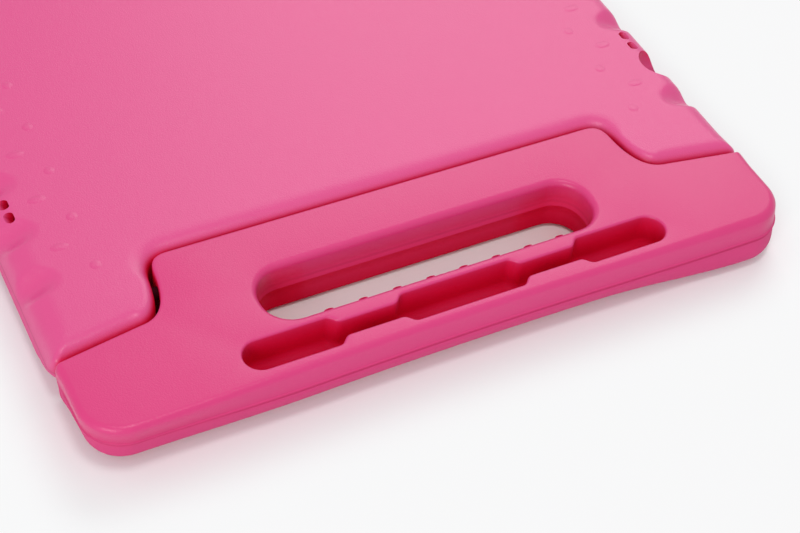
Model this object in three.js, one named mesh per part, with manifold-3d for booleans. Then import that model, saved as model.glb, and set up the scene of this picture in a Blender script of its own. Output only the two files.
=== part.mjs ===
// A foam case for a 10.5-inch tablet, with a folding carry handle. Millimetres, +Z up.
// The case lies on its screen side: z = 0 is the front rim and the back of the case faces up.
// X runs along the handle, which hangs off the -Y side, and the origin is under the middle.

import * as THREE from 'three';
import { mergeVertices } from 'three/addons/utils/BufferGeometryUtils.js';
import Module from 'manifold-3d';

const wasm = await Module();
wasm.setup();

// Driving dimensions

const tablet = { length: 250.6, width: 174.1, thickness: 6.1, corner: 8 };
const tabletClearance = 0.4;
const caseThickness = 25;

const sideWall = 22.6;
const farWall = 17.6;
const nearWall = 4.6;
const lipHeight = 6;
const lipOverlap = 5;
const lipFlare = 4;
const shellFarCorner = 24;
const shellEarCorner = { back: 5, front: 22 };
const shellBackRound = 11;
const shellFrontRound = 8;

const earWidth = 48.4;
const tongueCorner = 8.4;
const tongueDepth = 30.6;
const seamFillet = 12;
const shoulderFall = 5.9;
const handleEndStep = { left: 0.2, right: 2 };
const handleReach = 75.6;
const handleWaist = 1.8;
const handleCorner = 18;
const handleSeamRound = 1.2;
const handleBackRound = 2.4;
const handleSideRound = 2;
const handleEndTaper = { left: 6.8, right: -2.9 };
const handleTaperAtEar = 0.35;
const nearWallEven = 60;
const handleFrontRound = 8;
const handleBackDraft = 1.4;
const handleFrontDraft = 4.6;
const handleEndRound = 3;
const handleEndBlend = 9;

const gripLength = 142.6;
const gripWidth = 26;
const gripFromSeam = 36.2;
const gripRound = 2.8;
const gripOffset = 2.5;
const nubCount = 8;
const nubPitch = 14.1;
const nubRadius = 2.3;
const nubProud = 0.75;
const nubBelowBack = 1;

const stylusLength = 178;
const stylusChannelWidth = 6.8;
const stylusPocketWidth = 13.8;
const stylusPocketEnd = 38.2;
const stylusPocketMiddle = 50.6;
const stylusDepth = 14.5;
const stylusFromSeam = 60.5;
const stylusRound = 1;

const runningGap = 0.5;
const pinRadius = 2.5;
const pinLength = 40;
const pinInTongue = 12;
const pinFit = 0.3;
const pivotFromSeam = 14.2;
const pivotDrop = 5.5;
const cheekGap = 2;
const seamSoftness = { tongue: 7.5, cheek: 3, shoulder: 6, front: 2.5, depth: 5 };

const dotInset = 30;
const ovalInset = 20.6;
const patternPitch = 27.2;
const patternFirst = 3.2;
const dot = { width: 4.6, length: 4.6, height: 0.3 };
const oval = { width: 7.6, length: 4.2, height: 0.35 };
const dish = { width: 20, length: 15, depth: 3.5, tilt: 30 };

const jack = { fromTabletEdge: 19.6, hole: 8.4 };
const jackNotch = { width: 18, length: 19, depth: 7, tilt: 45 };
const speaker = { fromTabletEdge: 36, spacing: 7.2, length: 5.2, width: 3 };
const port = { width: 14, height: 8 };
const camera = { fromTop: 13.5, fromSide: 13.5, radius: 7.5 };
const button = { recess: 2.2, margin: 3.5, sunk: 0.4, width: 6 };
const volume = { length: 30, fromTop: 38 };
const power = { length: 14, fromSide: 20 };

// Places that follow from them, with the seam above the tongue at y = 0

const tabletNear = pivotClearance() + nearWall;
const tabletFar = tabletNear + tablet.width + 2 * tabletClearance;
const tabletMiddle = (tabletNear + tabletFar) / 2;
const shellHalfWidth = tablet.length / 2 + tabletClearance + sideWall;
const shellFar = tabletFar + farWall;
const tongueHalfWidth = shellHalfWidth - earWidth;
const handleHalfWidth = shellHalfWidth - handleEndStep.left;
const middleY = (shellFar - handleReach) / 2;
const cavityTop = lipHeight + tablet.thickness + tabletClearance;
const pivot = new THREE.Vector3(0, -pivotFromSeam, caseThickness - pivotDrop);
const patternRows = Math.floor((shellFar - shellFarCorner - patternFirst) / patternPitch) + 1;
const earEnd = -tongueDepth - shoulderFall;

// The tongue's back corner swings past the seam by this much, plus a running gap.
function pivotClearance() {
  return Math.hypot(pivotFromSeam, pivotDrop) - pivotFromSeam + runningGap;
}

// Closed solids

function solidOf(geometry) {
  const bare = geometry.index ? geometry.toNonIndexed() : geometry.clone();
  for (const name of Object.keys(bare.attributes)) {
    if (name !== 'position') bare.deleteAttribute(name);
  }
  const merged = mergeVertices(bare, 1e-4);
  return new wasm.Manifold(new wasm.Mesh({
    numProp: 3,
    vertProperties: new Float32Array(merged.attributes.position.array),
    triVerts: new Uint32Array(merged.index.array),
  }));
}

function geometryOf(solid) {
  const { vertProperties, triVerts } = solid.getMesh();
  const geometry = new THREE.BufferGeometry();
  geometry.setAttribute('position', new THREE.BufferAttribute(new Float32Array(vertProperties), 3));
  geometry.setIndex(new THREE.BufferAttribute(new Uint32Array(triVerts), 1));
  geometry.computeVertexNormals();
  return geometry;
}

// A body between rings of points that climb in z; every ring has as many points as the first.
function loft(rings) {
  const count = rings[0].points.length;
  const positions = [];
  for (const ring of rings) {
    for (const point of ring.points) positions.push(point.x, point.y, ring.z);
  }
  const index = [];
  for (let level = 0; level < rings.length - 1; level += 1) {
    for (let i = 0; i < count; i += 1) {
      const next = (i + 1) % count;
      const a = level * count + i;
      const b = level * count + next;
      index.push(a, b, b + count, a, b + count, a + count);
    }
  }
  const top = (rings.length - 1) * count;
  for (const [a, b, c] of THREE.ShapeUtils.triangulateShape(rings[0].points, [])) index.push(c, b, a);
  for (const [a, b, c] of THREE.ShapeUtils.triangulateShape(rings.at(-1).points, [])) {
    index.push(top + a, top + b, top + c);
  }
  const geometry = new THREE.BufferGeometry();
  geometry.setAttribute('position', new THREE.Float32BufferAttribute(positions, 3));
  geometry.setIndex(index);
  return geometry;
}

// Outlines run counterclockwise

function counterclockwise(points) {
  return THREE.ShapeUtils.area(points) < 0 ? points.reverse() : points;
}

// Moves each point outwards by distance(i), square to the outline.
function offset(points, distance) {
  const count = points.length;
  return points.map((point, i) => {
    const before = points[(i + count - 1) % count];
    const after = points[(i + 1) % count];
    const into = point.clone().sub(before).normalize();
    const out = after.clone().sub(point).normalize();
    const normal = new THREE.Vector2(into.y + out.y, -into.x - out.x).normalize();
    const stretch = Math.min(1 / Math.max(0.5, normal.x * into.y - normal.y * into.x), 1.5);
    return point.clone().addScaledVector(normal, distance(i) * stretch);
  });
}

function roundedRectangle(halfX, lowY, highY, lowRadius, highRadius = lowRadius, steps = 8) {
  const points = [];
  const corners = [[halfX, lowY, -0.5], [halfX, highY, 0], [-halfX, highY, 0.5], [-halfX, lowY, 1]];
  for (const [x, y, quarter] of corners) {
    const radius = y === highY ? highRadius : lowRadius;
    const centreX = x - Math.sign(x) * radius;
    const centreY = y === highY ? y - radius : y + radius;
    for (let i = 0; i <= steps; i += 1) {
      const angle = (quarter + 0.5 * i / steps) * Math.PI;
      points.push(new THREE.Vector2(centreX + radius * Math.cos(angle), centreY + radius * Math.sin(angle)));
    }
  }
  return points;
}

// How far a quarter round of the given size has drawn in, at a height above where it starts.
function roundInset(height, size) {
  const share = THREE.MathUtils.clamp(height / size, 0, 1);
  return size * (1 - Math.sqrt(1 - share * share));
}

function levels(low, high, lowRound, highRound, steps = 4) {
  const heights = [];
  for (let i = 0; i < steps; i += 1) heights.push(low + lowRound * (1 - Math.cos(0.5 * Math.PI * i / steps)));
  heights.push(low + lowRound);
  heights.push(high - highRound);
  for (let i = 1; i <= steps; i += 1) {
    heights.push(high - highRound * (1 - Math.sin(0.5 * Math.PI * i / steps)));
  }
  return heights;
}

// Carry handle

// The seam's right half, from above the tongue's middle down its side to the shoulder.
function seamPath() {
  const path = new THREE.Path();
  const side = tongueHalfWidth;
  path.moveTo(0, 0);
  path.lineTo(side - tongueCorner, 0);
  path.bezierCurveTo(side - 1.6, 0, side - 0.3, -0.42 * tongueCorner, side, -1.2 * tongueCorner);
  path.bezierCurveTo(
    side + 1, -tongueDepth + 0.72 * seamFillet, side + 0.38 * seamFillet, -tongueDepth + 1,
    side + seamFillet, -tongueDepth);
  return path;
}

function mirrored(path) {
  const points = path.getPoints(8);
  const left = points.slice(1, -1).reverse().map((point) => new THREE.Vector2(-point.x, point.y));
  return counterclockwise([...points, ...left]);
}

function handleOutline() {
  const path = seamPath();
  path.lineTo(handleHalfWidth - handleEndRound, earEnd);
  path.quadraticCurveTo(handleHalfWidth, earEnd - 0.5, handleHalfWidth, earEnd - handleEndRound);
  path.lineTo(handleHalfWidth, -handleReach + handleCorner);
  path.absarc(
    handleHalfWidth - handleCorner, -handleReach + handleCorner, handleCorner, 0, -0.5 * Math.PI, true);
  path.bezierCurveTo(
    0.55 * handleHalfWidth, -handleReach, 0.4 * handleHalfWidth, -handleReach + handleWaist,
    0, -handleReach + handleWaist);
  return mirrored(path);
}

// Shares of each outline point on the rim, its near wall, its corners, the tongue's top and the shoulder.
function seamShares(points) {
  const { smoothstep } = THREE.MathUtils;
  return points.map((point) => {
    const rim = smoothstep(-point.y, -earEnd, -earEnd + handleEndBlend);
    const near = smoothstep(-point.y, handleReach - handleCorner, handleReach - handleWaist)
      * (1 - smoothstep(Math.abs(point.x), nearWallEven, handleHalfWidth - handleCorner));
    const corner = smoothstep(-point.y, -earEnd, handleReach - handleCorner);
    const top = 1 - smoothstep(-point.y, 0.2 * tongueCorner, 1.4 * tongueCorner);
    const shoulder = smoothstep(Math.abs(point.x), tongueHalfWidth, tongueHalfWidth + 1.4 * seamFillet);
    return { rim, near, corner, top, shoulder };
  });
}

// How far a wall with rounded edges, and draft from mid thickness, has drawn in at a height.
function wallInset(z, frontRound, backRound, frontDraft = 0, backDraft = 0) {
  const middle = caseThickness / 2;
  return roundInset(frontRound - z, frontRound) + roundInset(z - (caseThickness - backRound), backRound)
    + frontDraft * Math.max(0, 1 - z / middle) + backDraft * Math.max(0, z / middle - 1);
}

// Each end wall tapers from the back's edge towards the front, and runs straight on under the seam's end.
function handlePlate() {
  const outline = handleOutline();
  const shares = seamShares(outline);
  const heights = levels(0, caseThickness, handleFrontRound, handleBackRound, 5);
  heights.splice(6, 0, caseThickness / 2);
  const rings = heights.map((z) => {
    const { lerp } = THREE.MathUtils;
    const near = wallInset(z, handleFrontRound, handleBackRound, handleFrontDraft, handleBackDraft);
    const round = wallInset(z, handleFrontRound, handleSideRound);
    const seam = wallInset(z, handleSeamRound, handleSeamRound);
    const ends = outline.map((point, i) => {
      const taper = point.x > 0
        ? handleEndTaper.right
        : handleEndTaper.left * lerp(handleTaperAtEar, 1, shares[i].corner);
      const step = point.x > 0 ? handleEndStep.right - handleEndStep.left : 0;
      return step + round + taper * (1 - z / caseThickness);
    });
    const inset = shares.map((share, i) => lerp(seam, lerp(ends[i], near, share.near), share.rim));
    const points = offset(outline, (i) => -inset[i]);
    points.forEach((point, i) => {
      point.x = Math.sign(point.x) * Math.min(Math.abs(point.x), handleHalfWidth - ends[i]);
    });
    return { z, points };
  });
  return solidOf(loft(rings));
}

// A cut that flares to the surface, which leaves soft edges round a hole or pocket.
function flaredCut(outline, low, high, flareLow, flareHigh) {
  const heights = levels(low, high, flareLow, flareHigh, 3);
  const beyond = 1;
  const rings = heights.map((z) => {
    const grow = roundInset(low + flareLow - z, flareLow || 1) * (flareLow > 0 ? 1 : 0)
      + roundInset(z - (high - flareHigh), flareHigh);
    return { z, points: offset(outline, () => grow) };
  });
  if (flareLow > 0) rings.unshift({ z: low - beyond, points: rings[0].points });
  rings.push({ z: high + beyond, points: rings.at(-1).points });
  return solidOf(loft(rings.filter((ring, i) => i === 0 || ring.z > rings[i - 1].z)));
}

function gripSlot() {
  const outline = roundedRectangle(
    gripLength / 2, -gripFromSeam - gripWidth / 2, -gripFromSeam + gripWidth / 2,
    0.46 * gripWidth, 0.46 * gripWidth, 10);
  for (const point of outline) point.x += gripOffset;
  return flaredCut(outline, 0, caseThickness, gripRound, gripRound);
}

// Finger nubs stand along the slot's near wall.
function nubs() {
  const bodies = [];
  const nubLength = caseThickness - nubBelowBack - 1.3 * gripRound;
  const nearWallY = -gripFromSeam - gripWidth / 2;
  for (let i = 0; i < nubCount; i += 1) {
    const x = gripOffset + (i - (nubCount - 1) / 2) * nubPitch;
    const geometry = new THREE.CylinderGeometry(nubRadius, nubRadius, nubLength, 16);
    geometry.rotateX(Math.PI / 2);
    geometry.translate(x, nearWallY - nubRadius + nubProud, caseThickness - nubBelowBack - nubLength / 2);
    bodies.push(solidOf(geometry));
  }
  return bodies;
}

// Three wide pockets joined by two narrow channels hold a stylus and let fingers lift it.
function stylusOutline() {
  const end = stylusLength / 2;
  const wide = stylusPocketWidth / 2;
  const narrow = stylusChannelWidth / 2;
  const step = wide - narrow;
  const endPocket = end - stylusPocketEnd;
  const middlePocket = stylusPocketMiddle / 2;
  const quarter = new THREE.Path();
  quarter.moveTo(0, wide);
  quarter.lineTo(middlePocket - step, wide);
  quarter.bezierCurveTo(
    middlePocket - 0.2 * step, wide, middlePocket - 0.2 * step, narrow, middlePocket + 0.7 * step, narrow);
  quarter.lineTo(endPocket - 0.7 * step, narrow);
  quarter.bezierCurveTo(
    endPocket + 0.2 * step, narrow, endPocket + 0.2 * step, wide, endPocket + step, wide);
  quarter.lineTo(end - wide, wide);
  quarter.absarc(end - wide, 0, wide, 0.5 * Math.PI, 0, true);
  const upperRight = quarter.getPoints(6);
  const lowerRight = upperRight.slice(0, -1).reverse().map((p) => new THREE.Vector2(p.x, -p.y));
  const right = [...upperRight, ...lowerRight];
  const left = right.slice(1, -1).reverse().map((p) => new THREE.Vector2(-p.x, p.y));
  const points = [...right, ...left].map((p) => new THREE.Vector2(p.x + gripOffset, p.y - stylusFromSeam));
  return counterclockwise(points);
}

function stylusGroove() {
  return flaredCut(stylusOutline(), caseThickness - stylusDepth, caseThickness, 0, stylusRound);
}

function pinSolid(side, radius, extra) {
  const length = pinLength + 2 * extra;
  const geometry = new THREE.CylinderGeometry(radius, radius, length, 24);
  geometry.rotateZ(Math.PI / 2);
  const start = tongueHalfWidth - pinInTongue;
  geometry.translate(side * (start + pinLength / 2), pivot.y, pivot.z);
  return geometry;
}

function handleBody() {
  let body = handlePlate().subtract(gripSlot());
  for (const nub of nubs()) body = body.add(nub);
  body = body.subtract(stylusGroove());
  for (const side of [-1, 1]) body = body.subtract(solidOf(pinSolid(side, pinRadius + pinFit, pinFit)));
  return body;
}

// Case shell

function shellBlock() {
  const heights = levels(0, caseThickness, shellFrontRound, shellBackRound, 6);
  const nearEdge = earEnd - 1;
  const rings = heights.map((z) => {
    const inset = wallInset(z, shellFrontRound, shellBackRound);
    const earCorner = THREE.MathUtils.lerp(shellEarCorner.front, shellEarCorner.back, z / caseThickness);
    return {
      z,
      points: roundedRectangle(
        shellHalfWidth - inset, nearEdge, shellFar - inset, earCorner, shellFarCorner - inset, 9),
    };
  });
  return solidOf(loft(rings));
}

// The space beyond the seam, with its running gap and the soft edges that the shell has along it.
function handleSpace() {
  const path = seamPath();
  const beyond = 1;
  const clearX = shellHalfWidth + seamFillet;
  const slope = shoulderFall / (handleHalfWidth - tongueHalfWidth - seamFillet);
  path.lineTo(clearX, -tongueDepth - slope * (clearX - tongueHalfWidth - seamFillet));
  path.lineTo(clearX, -handleReach);
  const outline = mirrored(path);
  const shares = seamShares(outline);
  const softBack = seamSoftness.depth;
  const softFront = seamSoftness.depth / 2;
  const heights = levels(0, caseThickness, softFront, softBack, 5);
  const gaps = shares.map((share) => {
    const cheek = THREE.MathUtils.lerp(cheekGap, runningGap, share.shoulder);
    return THREE.MathUtils.lerp(cheek, pivotClearance(), share.top);
  });
  const widths = shares.map((share) => {
    const cheek = THREE.MathUtils.lerp(seamSoftness.cheek, seamSoftness.shoulder, share.shoulder);
    return THREE.MathUtils.lerp(cheek, seamSoftness.tongue, share.top);
  });
  const rings = heights.map((z) => {
    const back = roundInset(z - (caseThickness - softBack), softBack) / softBack;
    const front = roundInset(softFront - z, softFront) / softFront;
    return {
      z,
      points: offset(outline, (i) => gaps[i] + widths[i] * back + seamSoftness.front * front),
    };
  });
  rings.unshift({ z: -beyond, points: rings[0].points });
  rings.push({ z: caseThickness + beyond, points: rings.at(-1).points });
  return solidOf(loft(rings));
}

function tabletSpace() {
  const half = tablet.length / 2 + tabletClearance;
  const pocket = roundedRectangle(half, tabletNear, tabletFar, tablet.corner);
  const window = roundedRectangle(
    half - lipOverlap, tabletNear + lipOverlap, tabletFar - lipOverlap, tablet.corner);
  const mouth = offset(window, () => lipFlare);
  const beyond = 1;
  const cavity = solidOf(loft([{ z: lipHeight, points: pocket }, { z: cavityTop, points: pocket }]));
  const opening = solidOf(loft([
    { z: -beyond, points: mouth },
    { z: 0.15 * lipHeight, points: mouth },
    { z: 0.85 * lipHeight, points: window },
    { z: lipHeight + beyond, points: window },
  ]));
  return cavity.add(opening);
}

// A low bump or a shallow dish, as part of an ellipsoid.
function blob(width, length, height, x, y, z, segments = 12) {
  const geometry = new THREE.SphereGeometry(1, segments, Math.round(segments / 2));
  geometry.scale(width / 2, length / 2, height);
  geometry.translate(x, y, z);
  return solidOf(geometry);
}

function patternY(row) {
  return patternFirst + row * patternPitch;
}

function jackY() {
  return tabletNear + tabletClearance + jack.fromTabletEdge;
}

function bumps() {
  const bodies = [];
  for (const side of [-1, 1]) {
    for (let row = 0; row < patternRows; row += 1) {
      const dotX = side * (shellHalfWidth - dotInset);
      const ovalX = side * (shellHalfWidth - ovalInset);
      bodies.push(blob(dot.width, dot.length, dot.height, dotX, patternY(row), caseThickness - 0.02, 8));
      if (row < patternRows - 1) {
        const y = patternY(row + 0.5);
        bodies.push(blob(oval.width, oval.length, oval.height, ovalX, y, caseThickness - 0.02, 10));
      }
    }
  }
  return bodies;
}

// A shallow scoop across the rounded edge, tilted outwards from straight up.
function scoop(side, y, { width, length, depth, tilt }) {
  const lean = THREE.MathUtils.degToRad(tilt);
  const geometry = new THREE.SphereGeometry(1, 20, 12);
  geometry.scale(width / 2, length / 2, depth);
  geometry.rotateY(side * lean);
  const x = shellHalfWidth - shellBackRound * (1 - Math.sin(lean));
  geometry.translate(side * x, y, caseThickness - shellBackRound * (1 - Math.cos(lean)));
  return solidOf(geometry);
}

// Dishes notch the edge at each row, and the jack's deeper notch takes one dish's place.
function dishes() {
  const bodies = [];
  for (const side of [-1, 1]) {
    for (let row = 0; row < patternRows; row += 1) {
      const y = patternY(row);
      const atJack = side > 0 && Math.abs(y - jackY()) < patternPitch / 2;
      bodies.push(atJack
        ? scoop(side, jackY(), jackNotch)
        : scoop(side, y, dish));
    }
  }
  return bodies;
}

// A hole through a side wall, from the tablet's edge out past the case.
function sideHole(side, y, width, height, z) {
  const radius = Math.min(width, height) / 2;
  const length = sideWall + 6;
  const outline = roundedRectangle(width / 2, -height / 2, height / 2, radius * 0.98, radius * 0.98, 5);
  const geometry = loft([{ z: 0, points: outline }, { z: length, points: outline }]);
  geometry.rotateX(Math.PI / 2);
  geometry.rotateZ(side * Math.PI / 2);
  geometry.translate(side * (tablet.length / 2 - 1), y, z);
  return solidOf(geometry);
}

function speakerHole(side, y) {
  const radius = speaker.width / 2;
  const outline = roundedRectangle(
    radius, -speaker.length / 2, speaker.length / 2, radius * 0.98, radius * 0.98, 5);
  const length = 34;
  const geometry = loft([{ z: 0, points: outline }, { z: length, points: outline }]);
  geometry.rotateY(side * 0.28 * Math.PI);
  geometry.translate(side * (tablet.length / 2 - 4), y, lipHeight + tablet.thickness / 2);
  return solidOf(geometry);
}

function holes() {
  const bodies = [];
  const level = lipHeight + tablet.thickness / 2;
  const nearEdge = tabletNear + tabletClearance;
  const farEdge = tabletFar - tabletClearance;
  for (const side of [-1, 1]) {
    for (const shift of [-0.5, 0.5]) {
      const along = speaker.fromTabletEdge + shift * speaker.spacing;
      bodies.push(speakerHole(side, nearEdge + along));
      bodies.push(speakerHole(side, farEdge - along));
    }
  }
  bodies.push(sideHole(1, jackY(), jack.hole, jack.hole, level));
  bodies.push(sideHole(-1, tabletMiddle, port.width, port.height, level));
  const lens = new THREE.CylinderGeometry(camera.radius + 2, camera.radius, caseThickness, 32);
  lens.rotateX(Math.PI / 2);
  lens.translate(
    tablet.length / 2 - camera.fromTop, farEdge - camera.fromSide, cavityTop - 1 + caseThickness / 2);
  bodies.push(solidOf(lens));
  return bodies;
}

// Soft pads over the tablet's volume and power buttons lie in shallow recesses of the wall.
function buttonSolids(grow, sunk) {
  const level = lipHeight + tablet.thickness / 2 + 1;
  const depth = 2 * (button.recess - sunk);
  const back = sunk > 0 ? sunk + depth / 2 : 0;
  const height = button.width / 2 + grow / 2;
  const volumeX = tablet.length / 2 - volume.fromTop;
  const powerY = tabletFar - tabletClearance - power.fromSide;
  return [
    blob(volume.length + 2 * grow, depth, height, volumeX, shellFar - back, level),
    blob(depth, power.length + 2 * grow, height, shellHalfWidth - back, powerY, level),
  ];
}

function shellBody() {
  let body = shellBlock();
  for (const bump of bumps()) body = body.add(bump);
  for (const recess of buttonSolids(button.margin, 0)) body = body.subtract(recess);
  for (const pad of buttonSolids(0, button.sunk)) body = body.add(pad);
  body = body.subtract(handleSpace()).subtract(tabletSpace());
  for (const cut of [...dishes(), ...holes()]) body = body.subtract(cut);
  for (const side of [-1, 1]) body = body.subtract(solidOf(pinSolid(side, pinRadius + pinFit, pinFit)));
  return body;
}

// Assembly

const foam = new THREE.MeshStandardMaterial({ color: '#e2659a', roughness: 0.62, metalness: 0 });
const foamHandle = new THREE.MeshStandardMaterial({ color: '#df5f93', roughness: 0.6, metalness: 0 });
const nylon = new THREE.MeshStandardMaterial({ color: '#d8d8d6', roughness: 0.45, metalness: 0 });

function meshOf(name, geometry, material) {
  const mesh = new THREE.Mesh(geometry, material);
  mesh.name = name;
  return mesh;
}

const tabletCase = new THREE.Group();
tabletCase.position.y = -middleY;

tabletCase.add(meshOf('case_shell', geometryOf(shellBody()), foam));

// The handle is drawn about its hinge, and hangs from it.
const handleGroup = new THREE.Group();
handleGroup.position.copy(pivot);
const handleGeometry = geometryOf(handleBody());
handleGeometry.translate(-pivot.x, -pivot.y, -pivot.z);
handleGroup.add(meshOf('carry_handle', handleGeometry, foamHandle));
tabletCase.add(handleGroup);

for (const [name, side] of [['hinge_pin_left', -1], ['hinge_pin_right', 1]]) {
  tabletCase.add(meshOf(name, geometryOf(solidOf(pinSolid(side, pinRadius, 0))), nylon));
}

export default tabletCase;
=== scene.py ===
"""A foam tablet case with a folding carry handle, lying screen side down.

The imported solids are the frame. The shell and the handle are modelled here in millimetres
and stored in metres.
"""
import math

import bmesh
import bpy
import numpy as np
from mathutils import Matrix, Vector
from mathutils.geometry import delaunay_2d_cdt


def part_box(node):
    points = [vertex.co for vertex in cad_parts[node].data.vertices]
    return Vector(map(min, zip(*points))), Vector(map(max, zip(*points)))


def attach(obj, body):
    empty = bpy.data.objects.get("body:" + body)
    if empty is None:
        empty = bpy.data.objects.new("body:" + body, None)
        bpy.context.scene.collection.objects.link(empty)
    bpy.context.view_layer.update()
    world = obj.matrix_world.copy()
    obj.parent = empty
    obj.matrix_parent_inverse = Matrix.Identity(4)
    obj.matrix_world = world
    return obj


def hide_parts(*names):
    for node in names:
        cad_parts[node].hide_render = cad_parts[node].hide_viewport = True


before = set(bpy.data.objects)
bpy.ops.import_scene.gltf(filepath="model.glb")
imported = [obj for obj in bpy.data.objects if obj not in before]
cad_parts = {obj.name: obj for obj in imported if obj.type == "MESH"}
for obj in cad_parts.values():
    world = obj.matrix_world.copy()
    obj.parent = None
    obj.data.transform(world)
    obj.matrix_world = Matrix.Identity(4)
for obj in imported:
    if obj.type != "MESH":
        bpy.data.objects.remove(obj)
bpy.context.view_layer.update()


# Camera
# It looks down on the handle from the near left corner, as the photographer did.
# Its place and turn were worked out from the outline of the handle's rear face.

camera_target = Vector((-0.01365, -0.10268, 0.025))
camera_azimuth = math.radians(-30.71)
camera_elevation = math.radians(46.74)
camera_roll = math.radians(6.01)
camera_distance = 0.62729
picture_width = 800
focal_pixels = 1660

towards_camera = Vector((
    math.sin(camera_azimuth) * math.cos(camera_elevation),
    -math.cos(camera_azimuth) * math.cos(camera_elevation),
    math.sin(camera_elevation)))
level_right = Vector((math.cos(camera_azimuth), math.sin(camera_azimuth), 0))
level_up = towards_camera.cross(level_right)
camera_right = level_right * math.cos(camera_roll) + level_up * math.sin(camera_roll)
camera_up = level_up * math.cos(camera_roll) - level_right * math.sin(camera_roll)

camera_data = bpy.data.cameras.new("camera")
camera_data.sensor_width = 36
camera_data.lens = camera_data.sensor_width * focal_pixels / picture_width
camera = bpy.data.objects.new("camera", camera_data)
bpy.context.scene.collection.objects.link(camera)
turn = Matrix((camera_right, camera_up, towards_camera)).transposed().to_4x4()
camera.matrix_world = Matrix.Translation(camera_target + towards_camera * camera_distance) @ turn
bpy.context.scene.camera = camera


# Case shell
# One moulding of closed-cell foam that wraps the tablet's back and edges, with a lip round the screen.
# It comes out of a two-part mould, so its walls are widest at mid thickness and every edge is soft.

MM = 0.001
_, handle_high = (np.array(corner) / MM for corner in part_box("carry_handle"))
_, shell_high = (np.array(corner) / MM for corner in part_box("case_shell"))
pin_low, pin_high = (np.array(corner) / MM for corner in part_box("hinge_pin_right"))

thickness = 25.0
middle = thickness / 2
parting_level = 15.5
seam_y = handle_high[1]
shell_half = shell_high[0]
shell_far = shell_high[1]
handle_side_step = 0.2
handle_half = shell_half - handle_side_step
handle_reach = 75.6
handle_near = seam_y - handle_reach

tongue_half = 99.9
tongue_corner = 8.4
tongue_depth = 30.6
seam_fillet = 12.0
shoulder_fall = 5.9
running_gap = 0.5
cheek_gap = 2.0
pivot_y, pivot_z = (pin_low[1] + pin_high[1]) / 2, (pin_low[2] + pin_high[2]) / 2
tongue_gap = math.hypot(seam_y - pivot_y, thickness - pivot_z) - (seam_y - pivot_y) + running_gap

far_corner = 24.0
ear_corner_back, ear_corner_front = 3.5, 22.0
back_round = 11.0
front_round = 8.0
cheek_round, shoulder_round, tongue_top_round = 4.0, 8.5, 9.0
seam_round_depth, shoulder_more_depth = 5.5, 4.5
seam_front_round = 2.5
ear_blend = -shoulder_fall + 1.5, 12
sides_from = 30
outline_step, seam_step = 1.1, 0.4
seam_count, ear_count, side_count = 150, 90, 260
ear_side = 40

tablet_edge, pocket_play, pocket_width = 125.3, 0.4, 174.9
wall_beside_seam = 4.6
tablet_half = tablet_edge + pocket_play
tablet_near = seam_y + tongue_gap + wall_beside_seam
tablet_far = tablet_near + pocket_width
tablet_corner = 8.0
lip = 6.0
ceiling = 12.5
lip_overlap = 5.0
lip_flare = 4.0


def unit(vectors):
    """Each vector at length one."""
    return vectors / np.maximum(np.linalg.norm(vectors, axis=-1, keepdims=True), 1e-12)


def smooth(value, low, high):
    """0 below low, 1 above high, and an easy slope between."""
    share = np.clip((value - low) / (high - low), 0, 1)
    return share * share * (3 - 2 * share)


def bezier(p0, p1, p2, p3, count=40):
    """Points along a cubic curve, without its first point."""
    t = np.linspace(0, 1, count + 1)[1:, None]
    p0, p1, p2, p3 = map(np.array, (p0, p1, p2, p3))
    return (1 - t) ** 3 * p0 + 3 * (1 - t) ** 2 * t * p1 + 3 * (1 - t) * t ** 2 * p2 + t ** 3 * p3


def fillet(corner, before, after, radius, count=24):
    """An arc that rounds the corner between the directions of its neighbours."""
    corner, before, after = map(np.array, (corner, before, after))
    into, out = unit(before - corner), unit(after - corner)
    half = math.acos(np.clip(into @ out, -1, 1)) / 2
    centre = corner + unit(into + out) * radius / math.sin(half)
    start = corner + into * radius / math.tan(half) - centre
    end = corner + out * radius / math.tan(half) - centre
    swing = math.atan2(start[0] * end[1] - start[1] * end[0], start @ end)
    angles = np.linspace(0, swing, count + 1)[:, None]
    across = np.array([-start[1], start[0]])
    return centre + start * np.cos(angles) + across * np.sin(angles)


def even(points, step, closed=True):
    """The same line with its points an even step apart."""
    line = np.vstack([points, points[:1]]) if closed else np.asarray(points)
    length = np.concatenate([[0], np.cumsum(np.linalg.norm(np.diff(line, axis=0), axis=1))])
    count = max(3, round(length[-1] / step))
    at = np.linspace(0, length[-1], count + 1)
    if closed:
        at = at[:-1]
    return np.column_stack([np.interp(at, length, line[:, 0]), np.interp(at, length, line[:, 1])])


def resampled(line, count):
    """An open line with a given number of points, an even step apart."""
    length = np.concatenate([[0], np.cumsum(np.linalg.norm(np.diff(line, axis=0), axis=1))])
    at = np.linspace(0, length[-1], count)
    return np.column_stack([np.interp(at, length, line[:, 0]), np.interp(at, length, line[:, 1])])


def outwards(points):
    """The outward normals of a closed outline that runs counterclockwise."""
    along = unit(np.roll(points, -1, axis=0) - np.roll(points, 1, axis=0))
    return np.column_stack([along[:, 1], -along[:, 0]])


def mirrored(right):
    """A whole outline from its right half, counterclockwise, from the middle below to the middle above."""
    left = right[::-1] * [-1, 1]
    return np.vstack([right, left])


def rounded_box(half, low, high, radius, step=2.0):
    """A rectangle with round corners."""
    right = np.vstack([
        [[0, low]],
        fillet((half, low), (0, low), (half, high), radius),
        fillet((half, high), (half, low), (0, high), radius),
        [[0, high]]])
    return even(mirrored(right)[1:-1], step)


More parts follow.
